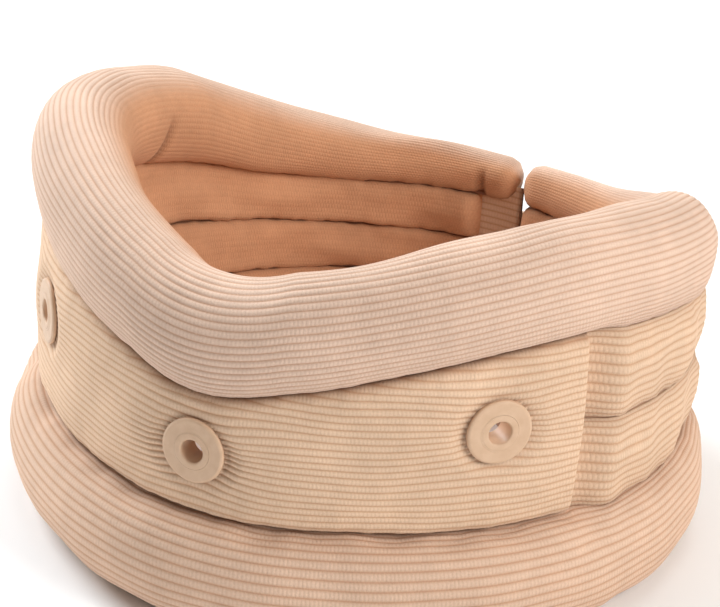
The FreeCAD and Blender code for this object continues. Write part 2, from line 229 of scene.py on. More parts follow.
def quarter(count):
    """Quarter of an ellipse as (across, along), both 0 to 1: from the waist to the end."""
    turn = np.linspace(0, np.pi / 2, 400)
    across, along = np.cos(turn) ** FULLNESS, np.sin(turn)
    length = np.concatenate([[0], np.cumsum(np.hypot(np.diff(across), np.diff(along)))])
    steps = np.linspace(0, length[-1], count + 1)
    return np.interp(steps, length, across), np.interp(steps, length, along)


def quarter_length(first, second):
    """Length of a quarter ellipse, from its half-axes."""
    return math.pi / 2 * math.sqrt((first ** 2 + second ** 2) / 2)


def side_counts(strip):
    """Samples on half of the outer side and half of the inner side."""
    if strip == "upper_roll":
        outer = inner = quarter_length(THINNED["half_width"][0], THINNED["half_height"][0])
    elif strip == "lower_roll":
        outer = quarter_length(LOWER_REACH, LOW_SEAM / 2)
        inner = quarter_length(6 * MM, LOW_SEAM / 2)
    else:
        outer = inner = (SEAM_SIDE - LOW_SEAM) / 4
    ribs = round(outer / PITCH[strip])
    lining = ribs * RIB_SAMPLES if strip == "upper_roll" else round(inner / LINING_SAMPLE)
    return ribs * RIB_SAMPLES, lining


def strip_outline(strip, angle):
    """Closed outline of a strip at each angle, from the outer seam up, over the top, down
    the inner side and back underneath. Gives u and height grids, and for each column its
    rib phase and its kind: ribs, inside or hidden."""
    s = {key: value[:, None] for key, value in section(angle).items()}
    outer, inner = side_counts(strip)
    across, along = quarter(outer)
    across_in, along_in = quarter(inner)
    link = np.linspace(0, 1, HIDDEN_SAMPLES + 1)
    if strip == "upper_roll":
        bottom, rise = s["high"], s["half_height"]
        top = bottom + 2 * rise
        top_out = top_in = s["roll_middle"]
        out_reach, in_reach = top_out + s["half_width"], top_in - s["half_width"]
    else:
        bottom, top = {"lower_roll": (0 * s["low"], s["low"]),
                       "lower_channel": (s["low"], s["middle"]),
                       "upper_channel": (s["middle"], s["high"])}[strip]
        rise = (top - bottom) / 2
        top_out, top_in = s["seam_out"], s["seam_in"]
        out_reach, in_reach = top_out + s["bulge_out"], top_in - s["bulge_in"]
    if strip == "lower_roll":
        out_reach, in_reach = s["lower_out"], s["lower_in"]
    waist = bottom + rise
    parts = [
        (mix(s["seam_out"], out_reach, across[::-1]), waist - rise * along[::-1], "ribs"),
        (mix(top_out, out_reach, across), waist + rise * along, "ribs"),
        (mix(top_out, top_in, link), top + 0 * link, "hidden"),
        (mix(top_in, in_reach, across_in[::-1]), waist + rise * along_in[::-1], "inside"),
        (mix(s["seam_in"], in_reach, across_in), waist - rise * along_in, "inside"),
        (mix(s["seam_in"], s["seam_out"], link), bottom + 0 * link, "hidden"),
    ]
    if strip == "upper_roll":
        del parts[2]      # nothing is sewn on top of it
    u = np.concatenate([part[0][:, :-1] for part in parts], axis=1)
    height = np.concatenate([part[1][:, :-1] for part in parts], axis=1)
    kinds = np.concatenate([[part[2]] * (part[0].shape[1] - 1) for part in parts])
    steps = {"ribs": 1 / RIB_SAMPLES, "hidden": 0.3,
             "inside": 1 / RIB_SAMPLES if strip == "upper_roll" else LINING_SAMPLE / PITCH[strip]}
    phase = np.concatenate([[0], np.cumsum([steps[kind] for kind in kinds])[:-1]])
    return u, height, phase, kinds


def seam_distance(u, height, kinds):
    """Distance of every outline point from the nearest seam, along the outline."""
    step = np.hypot(np.diff(u, axis=1, append=u[:, :1]),
                    np.diff(height, axis=1, append=height[:, :1]))
    length = np.concatenate([np.zeros((len(u), 1)), np.cumsum(step, axis=1)], axis=1)
    length, whole = length[:, :-1], length[:, -1:]
    hidden = kinds == "hidden"
    distance = np.full(u.shape, 1.0)
    for k in np.flatnonzero(hidden | np.roll(hidden, 1)):
        apart = np.abs(length - length[:, k:k + 1])
        distance = np.minimum(distance, np.minimum(apart, whole - apart))
    return distance


def smooth_normals(points):
    """Unit normals of a grid of points: rows are stations, columns run round the outline."""
    across = (np.roll(points, -1, axis=1) - np.roll(points, 1, axis=1)) / 2
    normal = np.cross(np.gradient(points, axis=0), across)
    return normal / np.maximum(np.linalg.norm(normal, axis=-1, keepdims=True), 1e-12)


def triples(first, second, third):
    """Grid of three values at each point, from three arrays that broadcast together."""
    return np.stack(np.broadcast_arrays(first, second, third), -1)


# ---- cloth simulation

SIM_STATION, SIM_COLUMNS = 5 * MM, 30
SIM_FRAMES = 20
SWELL_LIMIT = 1.1 * MM
CLOTH = {"quality": 6, "mass": 0.2, "tension_stiffness": 12, "compression_stiffness": 12,
         "bending_stiffness": 0.6, "shrink_min": -0.025, "use_pressure": True,
         "uniform_pressure_force": 4.0, "vertex_group_mass": "seams"}


def spline_weights(fine, coarse, closed):
    """Matrix of uniform cubic B-spline weights from coarse samples to fine ones, which
    are positions from 0 to 1 along the coarse row."""
    span = coarse if closed else coarse - 1
    position = np.asarray(fine) * span
    first = np.minimum(np.floor(position).astype(int), span if closed else span - 1)
    t = position - first
    shares = [(1 - t) ** 3 / 6, (3 * t ** 3 - 6 * t ** 2 + 4) / 6,
              (-3 * t ** 3 + 3 * t ** 2 + 3 * t + 1) / 6, t ** 3 / 6]
    weights = np.zeros((len(position), coarse))
    for shift, share in enumerate(shares):
        column = first + shift - 1
        column = column % coarse if closed else np.clip(column, 0, coarse - 1)
        np.add.at(weights, (np.arange(len(position)), column), share)
    return weights


def simulate_swell(strip, length):
    """Cloth simulation of one strip's tube, blown up against its seams. Gives how far each
    point of its coarse grid moves along its normal."""
    count = int((length[-1] - length[0]) / SIM_STATION)
    coarse_length = np.linspace(length[0], length[-1], count)
    u, height, _, kinds = strip_outline(strip, angle_at(coarse_length))
    columns = np.linspace(0, u.shape[1], SIM_COLUMNS, endpoint=False).astype(int)
    points = place(angle_at(coarse_length)[:, None], u[:, columns], height[:, columns])
    hidden = kinds[columns] == "hidden"
    pinned = hidden | np.roll(hidden, 1) | np.roll(hidden, -1)
    normals = smooth_normals(points)
    cloth = grid_mesh(strip + "_cloth", points, closed=True)
    group = cloth.vertex_groups.new(name="seams")
    held = np.zeros((count, SIM_COLUMNS), bool)
    held[:, pinned] = held[[0, -1]] = True
    group.add(np.flatnonzero(held).tolist(), 1.0, "REPLACE")
    modifier = cloth.modifiers.new("cloth", "CLOTH")
    for key, value in CLOTH.items():
        setattr(modifier.settings, key, value)
    modifier.settings.effector_weights.gravity = 0.0
    modifier.collision_settings.use_collision = False
    scene = bpy.context.scene
    for step in range(1, SIM_FRAMES + 1):
        scene.frame_set(step)
    evaluated = cloth.evaluated_get(bpy.context.evaluated_depsgraph_get())
    moved = np.zeros(points.size)
    evaluated.data.vertices.foreach_get("co", moved)
    moved = moved.reshape(points.shape)
    bpy.data.objects.remove(cloth)
    scene.frame_set(1)
    swell_out = ((moved - points) * normals).sum(-1)
    swell_out -= swell_out[:, ~pinned].mean()
    swell_out[:, pinned] = 0.0
    return SWELL_LIMIT * np.tanh(swell_out / SWELL_LIMIT)


# ---- meshes

def grid_mesh(name, points, closed=False, normals=None, attributes=None, caps=(False, False),
              drop=None):
    """Object from a grid of points: rows are stations, columns run across or round.

    closed joins the last column to the first; caps closes an end with a fan; drop is a
    mask of points whose faces are left out.
    """
    rows, columns = points.shape[:2]
    vertices = points.reshape(-1, 3)
    index = np.arange(rows * columns).reshape(rows, columns)
    following = np.roll(index, -1, axis=1) if closed else index[:, 1:]
    here = index if closed else index[:, :-1]
    quads = np.stack([here[:-1], here[1:], following[1:], following[:-1]], -1).reshape(-1, 4)
    if drop is not None:
        quads = quads[~drop.reshape(-1)[quads].any(axis=1)]
    faces = [quads]
    extra = []
    for cap, row in zip(caps, (0, rows - 1)):
        if cap:
            centre = rows * columns + len(extra)
            extra.append(points[row].mean(axis=0))
            ring, after = index[row], np.roll(index[row], -1)
            fan = [ring, after] if row == 0 else [after, ring]
            faces.append(np.stack([*fan, np.full(columns, centre)], -1))
    vertices = np.concatenate([vertices, np.array(extra).reshape(-1, 3)])
    loops = np.concatenate([block.ravel() for block in faces])
    used, loops = np.unique(loops, return_inverse=True)
    mesh = bpy.data.meshes.new(name)
    sizes = np.concatenate([np.full(len(block), block.shape[1]) for block in faces])
    mesh.vertices.add(len(used))
    mesh.vertices.foreach_set("co", vertices[used].ravel())
    mesh.loops.add(len(loops))
    mesh.loops.foreach_set("vertex_index", loops)
    mesh.polygons.add(len(sizes))
    mesh.polygons.foreach_set("loop_start", np.concatenate([[0], np.cumsum(sizes)[:-1]]))
    mesh.update(calc_edges=True)
    mesh.shade_smooth()
    for key, value in (attributes or {}).items():
        kind, width = ("FLOAT_VECTOR", 3) if value.ndim == 3 else ("FLOAT", 1)
        flat = value.reshape(rows * columns, width)
        flat = np.concatenate([flat, np.repeat(flat[-1:], len(extra), axis=0)])[used]
        layer = mesh.attributes.new(key, kind, "POINT")
        layer.data.foreach_set("vector" if width == 3 else "value", flat.astype(np.float32).ravel())
    if normals is not None:
        flat = np.concatenate([normals.reshape(-1, 3), np.zeros((len(extra), 3))])[used]
        mesh.normals_split_custom_set_from_vertices([tuple(n) for n in flat])
    return add_object(name, mesh)


def add_object(name, data):
    item = bpy.data.objects.new(name, data)
    bpy.context.scene.collection.objects.link(item)
    return item


def dress(item, material, slot, body, *nodes):
    """Material of a piece, the body that it rides and the CAD nodes it replaces. The slot is not
    used.
    """
    item.data.materials.append(material)
    if body:
        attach(item, body)
    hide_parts(*nodes)


# ---- materials

def new_material(name):
    material = bpy.data.materials.new(name)
    material.use_nodes = True
    nodes = material.node_tree.nodes
    nodes.clear()
    output = nodes.new("ShaderNodeOutputMaterial")
    shader = nodes.new("ShaderNodeBsdfPrincipled")
    material.node_tree.links.new(shader.outputs["BSDF"], output.inputs["Surface"])
    return material, Graph(material.node_tree), shader


class Graph:
    """Short ways to add nodes to one material."""

    def __init__(self, tree):
        self.tree = tree

    def put(self, socket, value):
        if isinstance(value, bpy.types.NodeSocket):
            self.tree.links.new(value, socket)
        elif value is not None:
            socket.default_value = value

    def fill(self, node, inputs):
        for key, value in inputs.items():
            self.put(node.inputs[key], value)

    def add(self, kind, inputs, **settings):
        """Outputs of a new node, with its settings made and its inputs filled in."""
        node = self.tree.nodes.new("ShaderNode" + kind)
        for key, value in settings.items():
            setattr(node, key, value)
        self.fill(node, inputs)
        return node.outputs

    def math(self, operation, first, second=None):
        return self.add("Math", {0: first, 1: second}, operation=operation)[0]

    def times(self, first, second):
        return self.math("MULTIPLY", first, second)

    def wave(self, value):
        """Humps from 0 to 1, one to each unit of the value."""
        return self.math("ABSOLUTE", self.math("SINE", self.times(value, math.pi)))

    def attribute(self, name, output="Vector"):
        return self.add("Attribute", {}, attribute_name=name)[output]

    def object_place(self):
        """Place in the object's own frame, in millimetres."""
        here = self.add("TexCoord", {})["Object"]
        return self.add("VectorMath", {0: here, "Scale": 1 / MM}, operation="SCALE")[0]

    def split(self, vector):
        return self.add("SeparateXYZ", {0: vector})

    def join(self, *parts):
        return self.add("CombineXYZ", dict(enumerate(parts)))[0]

    def noise(self, vector, scale, detail=2.0, roughness=0.5):
        return self.add("TexNoise", {"Vector": vector, "Scale": scale, "Detail": detail,
                                     "Roughness": roughness})["Fac"]

    def blend(self, share, first, second, mode="MIX"):
        first, second = ((*value, 1.0) if isinstance(value, tuple) else value
                         for value in (first, second))
        return self.add("Mix", {0: share, 6: first, 7: second}, data_type="RGBA",
                        blend_type=mode, clamp_factor=True)[2]

    def spread(self, value, *ends):
        """Value mapped from the first two ends to the other two, or to 0 and 1."""
        return self.add("MapRange", dict(enumerate((value, *ends))))[0]

    def bump(self, height, distance, strength):
        return self.add("Bump", {"Height": height, "Distance": distance,
                                 "Strength": strength})[0]


def srgb(red, green, blue):
    """Linear colour from 0-255 display values."""
    def linear(value):
        value /= 255
        return value / 12.92 if value <= 0.04045 else ((value + 0.055) / 1.055) ** 2.4
    return tuple(linear(value) for value in (red, green, blue))


STITCH_LENGTH = 0.95      # along a rib, in millimetres
RIB_WIDTH = 1.8           # in millimetres, to turn rib counts into a length for the noise


def knit_material(name, ridge, valley_shade):
    """Ribbed stockinette, with painted shade in its rib valleys, between its stitch loops and
    along its seams and folds. The knit attribute holds the distance along the collar in
    millimetres, the count of ribs across, and the share of smooth lining."""
    material, graph, shader = new_material(name)
    along, ribs, lining = graph.split(graph.attribute("knit"))
    sheen_tint = (*ridge, 1.0)
    # inside, towards the lining's colours, whose darkness is partly painted shade
    ridge = graph.blend(lining, ridge, LINING_PARTLY_SHADED)
    valley_shade = graph.blend(lining, valley_shade, LINING_VALLEY_SHADE)
    wave = graph.wave(ribs)
    offset = graph.times(graph.math("FLOOR", ribs), 0.5)
    loops = graph.wave(graph.math("ADD", graph.math("DIVIDE", along, STITCH_LENGTH), offset))
    flat = graph.join(along, graph.times(ribs, RIB_WIDTH), lining)
    broad = graph.noise(flat, 0.035, 2.0)
    patchy = graph.noise(flat, 0.22, 2.0)
    fuzz = graph.noise(flat, 2.6, 3.0, 0.65)
    depth = graph.times(graph.math("SUBTRACT", 1.0, wave),
                        graph.spread(lining, 0.0, 1.0, 1.0, 0.2))
    # painted shade in the rib valleys
    colour = graph.blend(graph.math("POWER", depth, 1.6), ridge, valley_shade)
    # painted shade between the stitch loops
    shade = graph.times(graph.math("SUBTRACT", 1.0, loops), 0.22)
    colour = graph.blend(shade, colour, valley_shade)
    tone = graph.times(graph.spread(broad, 0.35, 0.65, 0.94, 1.05),
                       graph.spread(patchy, 0.3, 0.7, 0.97, 1.03))
    tone = graph.times(tone, graph.spread(fuzz, 0.25, 0.75, 0.90, 1.08))
    colour = graph.blend(1.0, colour, graph.join(tone, tone, tone), "MULTIPLY")
    # painted shade from the crease attribute: darker towards the brown of the crease shade
    colour = graph.blend(graph.attribute("crease_shade", "Fac"), colour, CREASE_SHADE)
    height = graph.math("ADD", graph.times(graph.times(loops, wave), 0.6),
                        graph.times(fuzz, 0.8))
    graph.fill(shader, {
        "Base Color": colour, "Roughness": 0.92, "Specular IOR Level": 0.18,
        "Sheen Weight": 0.22, "Sheen Roughness": 0.45, "Sheen Tint": sheen_tint,
        "Normal": graph.bump(height, 0.16 * MM, 0.8)})
    return material


def plastic_material(name, colour, edge, place_from="surface"):
    """Moulded plastic with a faint mottle and fine matt grain."""
    material, graph, shader = new_material(name)
    point = graph.attribute(place_from) if place_from else graph.object_place()
    mottle = graph.noise(point, 0.35, 3.0)
    grain = graph.noise(point, 9.0, 2.0)
    tint = graph.blend(graph.spread(mottle, 0.3, 0.7), colour, edge)
    graph.fill(shader, {
        "Base Color": tint, "Roughness": graph.spread(grain, 0.3, 0.7, 0.42, 0.52),
        "Specular IOR Level": 0.4, "Normal": graph.bump(grain, 0.03 * MM, 0.5)})
    return material


def tape_material(name, colour, gap_shade, cell, fuzzy=0.0):
    """Woven or looped tape, with painted shade in the gaps of its weave: the surface attribute is a
    place on it in millimetres.
    """
    material, graph, shader = new_material(name)
    along, across, _ = graph.split(graph.attribute("surface"))
    first = graph.math("SINE", graph.times(along, math.pi / cell))
    second = graph.math("SINE", graph.times(across, math.pi / cell))
    weave = graph.math("ABSOLUTE", graph.times(first, second))
    fuzz = graph.noise(graph.attribute("surface"), 1.8, 4.0, 0.7)
    broad = graph.noise(graph.attribute("surface"), 0.08, 2.0)
    height = graph.math("ADD", graph.times(weave, 1 - fuzzy), fuzz)
    shade = graph.spread(height, 0.4, 1.3)
    # painted shade in the gaps of the weave
    tint = graph.blend(shade, gap_shade, colour)
    tone = graph.spread(broad, 0.3, 0.7, 0.93, 1.05)
    tint = graph.blend(1.0, tint, graph.join(tone, tone, tone), "MULTIPLY")
    graph.fill(shader, {"Base Color": tint, "Roughness": 0.85, "Sheen Weight": 0.2,
                        "Normal": graph.bump(height, 0.15 * MM, 0.7)})
    return material


# painted shade: the brown laid along seams, in deep folds, round the eyelets and at the band's sunk
# ends
CREASE_SHADE = srgb(96, 52, 30)
# smooth lining inside: its own warmer tone, darkened in part as painted shade of the collar's
# inside; its valleys darker still as painted shade
LINING_PARTLY_SHADED, LINING_VALLEY_SHADE = srgb(215, 161, 123), srgb(181, 123, 89)
# each knit's own colour, then the darker colour of its painted valley shade
KNIT_UPPER = knit_material("knit_upper", srgb(229, 200, 180), srgb(204, 162, 136))
KNIT_LOWER = knit_material("knit_lower", srgb(228, 196, 172), srgb(202, 156, 126))
KNIT_BAND = knit_material("knit_band", srgb(231, 200, 172), srgb(204, 160, 127))
EYELET_PLASTIC = plastic_material("eyelet_plastic", srgb(218, 184, 154), srgb(210, 174, 143))
WASHER_PLASTIC = plastic_material("washer_plastic", srgb(224, 188, 156), srgb(214, 176, 142))
PLATE_PLASTIC = plastic_material("plate_plastic", srgb(232, 226, 214), srgb(222, 214, 200), None)
STRAP_TAPE = tape_material("strap_tape", srgb(226, 190, 160), srgb(180, 132, 100), 1.1)
LOOP_TAPE = tape_material("loop_tape", srgb(222, 184, 152), srgb(186, 140, 108), 0.9, 0.7)
HOOK_TAPE = tape_material("hook_tape", srgb(214, 176, 144), srgb(170, 124, 92), 1.4)
THREAD = tape_material("thread", srgb(206, 160, 126), srgb(150, 104, 76), 0.35)


# ---- padded strips

END_ROUND = {"lower_roll": 5 * MM, "lower_channel": 4 * MM, "upper_channel": 4 * MM,
             "upper_roll": 4.5 * MM}
# the closure lies a little to the +X side of the back's middle
CLOSURE_OFFSET = 7.5 * MM
CLOSURE_GAP = 2 * MM
END_HEM_LENGTH = 11 * MM
WHOLE_RUN = float(run_length(180.0))
LEFT_RUN, RIGHT_RUN = WHOLE_RUN + CLOSURE_OFFSET, WHOLE_RUN - CLOSURE_OFFSET
LEFT_END = -LEFT_RUN + CLOSURE_GAP / 2 + END_HEM_LENGTH
RIGHT_END = RIGHT_RUN - CLOSURE_GAP / 2
SEED = {strip: 11 + k for k, strip in enumerate(STRIPS)}
WELL_OUTER, WELL_INNER, WELL_FLOOR = 17 * MM, 8.6 * MM, -2.2 * MM
BARREL_CLEAR = 5.2 * MM
FOLD_DEPTH = 1.3 * MM
TAPE_BED = 4.9 * MM
HEM_PINCH = 0.35     # share of the thickness left where the strips meet the end hem


def vent_reach(length, height):
    """Distance, on the wall, from the nearest vent's axis."""
    nearest = np.full(np.broadcast(length, height).shape, 1.0)
    for run, level in vent_places():
        nearest = np.minimum(nearest, np.hypot(length - run, height - level))
    return nearest


def folds(strip, run, inside, height):
    """Deep creases of the upper roll's lower half on the inside, from 0 to 1: one on the left
    and one where the end hem starts."""
    if strip != "upper_roll":
        return 0.0 * run * height
    angle = angle_at(run)
    up = np.clip((height - upper_seam(angle)) / (12 * MM), 0, None)
    side = 0.8 * hump(angle, -90.0 - 2.0 * up, 1.2) * (1 - ease(up, 0.7, 1.5))
    hem = hump(run, LEFT_END, 1.1 * MM) * (1 - ease(up, 0.35, 0.85))
    return np.clip(side + hem, 0, 1) * inside


def make_strip(strip):
    """One foam strip's cover, all the way round, as three pieces split on the sides."""
    left_end = LEFT_END - END_HEM_LENGTH * (strip == "upper_roll")
    split = run_length(SPLIT_ANGLE)
    marks = [left_end, -split, split, RIGHT_END]
    spans = []
    for first, last in zip(marks, marks[1:]):
        count = max(2, round((last - first) / STATION_LENGTH))
        spans.append(np.linspace(first, last, count + 1))
    length = np.concatenate([spans[0], spans[1][1:], spans[2][1:]])
    # rounded ends at the closure: stations crowd together towards each end
    round_off = END_ROUND[strip]
    for sign, end in ((1, left_end), (-1, RIGHT_END)):
        inward = sign * (length - end)
        near = inward < round_off
        length = np.where(near, end + sign * round_off * (1 - np.cos(
            np.clip(inward / round_off, 0, 1) * np.pi / 2)), length)
    angle = angle_at(length)
    u, height, phase, kinds = strip_outline(strip, angle)
    distance = seam_distance(u, height, kinds)
    run = length[:, None]
    # how full the section is: 1 along the strip, down to 0 at its rounded ends
    inward = np.minimum(length - left_end, RIGHT_END - length)
    full = np.maximum(dome(inward / round_off), 0.03)[:, None]
    # below the upper roll the left ends are pinched flat into the hem, nearly at full height
    at_hem = (run < 0) & (strip != "upper_roll")
    flat = np.where(at_hem, mix(HEM_PINCH, 1.0, full), full)
    tall = np.where(at_hem, mix(0.93, 1.0, full), full)
    # wells behind the vents, in the lining of the channels
    inside = (kinds == "inside")[None, :]
    if strip.endswith("channel"):
        reach = vent_reach(run, height)
        well = (1 - ease(reach, WELL_INNER, WELL_OUTER)) * inside
        u = mix(u, np.maximum(u, WELL_FLOOR), well)
    d_u, d_h = (np.roll(grid, -1, 1) - np.roll(grid, 1, 1) for grid in (u, height))
    size = np.maximum(np.hypot(d_u, d_h), 1e-9)
    n_u, n_h = d_h / size, -d_u / size
    ribs = np.abs(np.sin(np.pi * phase)) ** 0.7 - 0.6
    lining = inside * 1.0
    if strip == "upper_roll":
        # its ribs fade into the lining on the way down the inner side
        columns = inside.sum()
        lining[inside] = ease(np.arange(columns), 0, columns * 0.35)
    hidden = (kinds == "hidden")[None, :]
    strength = RIB_DEPTH * (1 - 0.75 * lining) * (1 - hidden)
    strength = strength * (1 + 0.25 * waves(run / (30 * MM), phase / 9.0, SEED[strip] + 40))
    out = ribs[None, :] * strength
    uneven = waves(run / (38 * MM), phase[None, :] / 14.0, SEED[strip])
    out = out + 0.30 * MM * uneven * (1 - hidden)
    pucker = waves(run / (6.5 * MM), phase / 30.0, SEED[strip] + 80) * np.exp(-distance / (3 * MM))
    out = out + 0.22 * MM * pucker * (1 - hidden)
    fold = folds(strip, run, inside, height)
    out = out - FOLD_DEPTH * fold
    swelling = simulate_swell(strip, length)
    share = (length - length[0]) / (length[-1] - length[0])
    along = spline_weights(share, len(swelling), False)
    across = spline_weights(np.arange(u.shape[1]) / u.shape[1], SIM_COLUMNS, True)
    out = out + along @ swelling @ across.T * (1 - hidden)
    out = out * full
    middle_u, middle_h = u.mean(axis=1, keepdims=True), height.mean(axis=1, keepdims=True)
    u, height = mix(middle_u, u + n_u * out, flat), mix(middle_h, height + n_h * out, tall)
    height = np.maximum(height, 0.0)
    if strip != "upper_roll":
        # pressed flat under the tapes of the closure
        start = np.where(run > 0, RIGHT_RUN - LOOP_END, LEFT_RUN - ANCHOR_END) - 4 * MM
        pressed = ease(np.abs(run), start, start + 3 * MM)
        u = mix(u, np.minimum(u, TAPE_BED), pressed)
    points = place(angle[:, None], u, height)
    normals = smooth_normals(points)
    knit = triples(run / MM, phase[None, :], lining)
    # painted shade near the seams, and deeper in the folds
    crease_shade = 0.55 * np.exp(-distance / (0.9 * MM)) + 0.18 * np.exp(-distance / (3 * MM))
    crease_shade = np.clip((crease_shade + 0.6 * fold) * full, 0, 1)
    drop = (vent_reach(run, height) < BARREL_CLEAR) & strip.endswith("channel")
    material = {"upper_roll": KNIT_UPPER, "lower_roll": KNIT_LOWER}.get(strip, KNIT_BAND)
    starts = np.cumsum([0] + [len(span) - 1 for span in spans])
    for part, first, last in zip(("left", "front", "right"), starts, starts[1:]):
        rows = slice(first, last + 1)
        piece = grid_mesh(f"padded_{strip}_{part}", points[rows], True, normals[rows],
                          {"knit": knit[rows], "crease_shade": crease_shade[rows]},
                          (part == "left", part == "right"), drop[rows])
        dress(piece, material, "ribbed_knit", "front" if part == "front" else None,
              f"{strip}_cover_{part}", f"{strip}_foam_{part}")
        if part != "front":
            bend_with_wing(piece, part)


def bend_with_wing(piece, side):
    """Bake a piece's transform into its mesh. The hinge beside the flex line is worked out, but
    nothing bends the piece with a wing.
    """
    sign = -1 if side == "left" else 1
    hinge = place(sign * FLEX_ANGLE, HINGE_REACH, 0.04)
    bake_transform(piece)


# ---- eyelet sizes

FLANGE_SEAT, FLANGE_RADIUS, FLANGE_THICKNESS = 2.5 * MM, 8.5 * MM, 1.2 * MM
RIM_RADIUS, RIM_HEIGHT = 4.6 * MM, 0.14 * MM
BORE_RADIUS, BARREL_RADIUS = 3.0 * MM, 4.3 * MM
WASHER_SEAT, WASHER_THICKNESS, WASHER_CLEARANCE = 2.0 * MM, 1.0 * MM, 0.1 * MM
TURN_STEPS = 96


# ---- front band

BAND_END = run_length(PANEL_END_ANGLE)
BAND_RIB_DEPTH = 0.26 * MM
EYELET_SINK = 0.15 * MM
DIMPLE_INNER, DIMPLE_OUTER = 8.4 * MM, 13 * MM
BAND_GAP = 0.5 * MM
BAND_SURFACE, BAND_CROWN, BAND_CURL = 2.5 * MM, 1.1 * MM, 3.2 * MM
BAND_STATION, BAND_SAMPLE = 0.8 * MM, 0.31 * MM
HEM_WIDTH = 4.6 * MM
CURL_SAMPLES, BACK_SAMPLES = 12, 10
BAND_BACK = -0.5 * MM
HEM_LIFT = 0.1 * MM
END_ROUNDING = 1.9 * MM


def curl_profile():
    """Band's closed cross profile, curled in at both edges and flat behind: for each sample
    its distance from the nearer edge and its sink, as shares of the curl's radius, its share
    of the way up, and whether it is on the back."""
    samples = round((SEAM_SIDE - LOW_SEAM - 2 * BAND_CURL) / BAND_SAMPLE)
    turn = np.linspace(0, np.pi / 2, CURL_SAMPLES + 1)[:-1]
    edge = np.concatenate([1 - np.cos(turn), np.ones(samples + 1), (1 - np.cos(turn))[::-1]])
    sink = np.concatenate([1 - np.sin(turn), np.zeros(samples + 1), (1 - np.sin(turn))[::-1]])
    share = np.concatenate([0 * turn, np.linspace(0, 1, samples + 1), 0 * turn + 1])
    behind = np.linspace(1, 0, BACK_SAMPLES + 2)[1:-1]
    back = np.concatenate([np.zeros(len(share), bool), np.ones(BACK_SAMPLES, bool)])
    filler = np.ones(BACK_SAMPLES)
    return (np.concatenate([edge, filler]), np.concatenate([sink, filler]),
            np.concatenate([share, behind]), back)


def vent_pull(length, height):
    """How much the knit is gathered towards each vent: a shift in height, and its strength."""
    shift, strength = 0.0 * length * height, 0.0 * length * height
    for run, level in vent_places():
        across, up = length - run, height - level
        pull = np.exp(-(across / (15 * MM)) ** 2 - (up / (9 * MM)) ** 2)
        shift = shift + 0.5 * up * pull
        strength = np.maximum(strength, np.exp(-((np.hypot(across, up) - 8 * MM) / (7 * MM)) ** 2))
    return shift, strength


def band_stations(first, last, round_first, round_last):
    """Run lengths along the band, crowded where an end is rounded, and how far each station
    is sunk towards the wall, from 0 to 1."""
    turn = np.linspace(0, np.pi / 2, 9)[:-1]
    tip, drop = END_ROUNDING * (1 - np.cos(turn)), 1 - np.sin(turn)
    start = first + END_ROUNDING * round_first
    stop = last - END_ROUNDING * round_last
    count = max(3, round((stop - start) / BAND_STATION) + 1)
    length, sink = [np.linspace(start, stop, count)], [np.zeros(count)]
    if round_first:
        length, sink = [first + tip, *length], [drop, *sink]
    if round_last:
        length, sink = [*length, (last - tip)[::-1]], [*sink, drop[::-1]]
    return np.concatenate(length), np.concatenate(sink)[:, None]


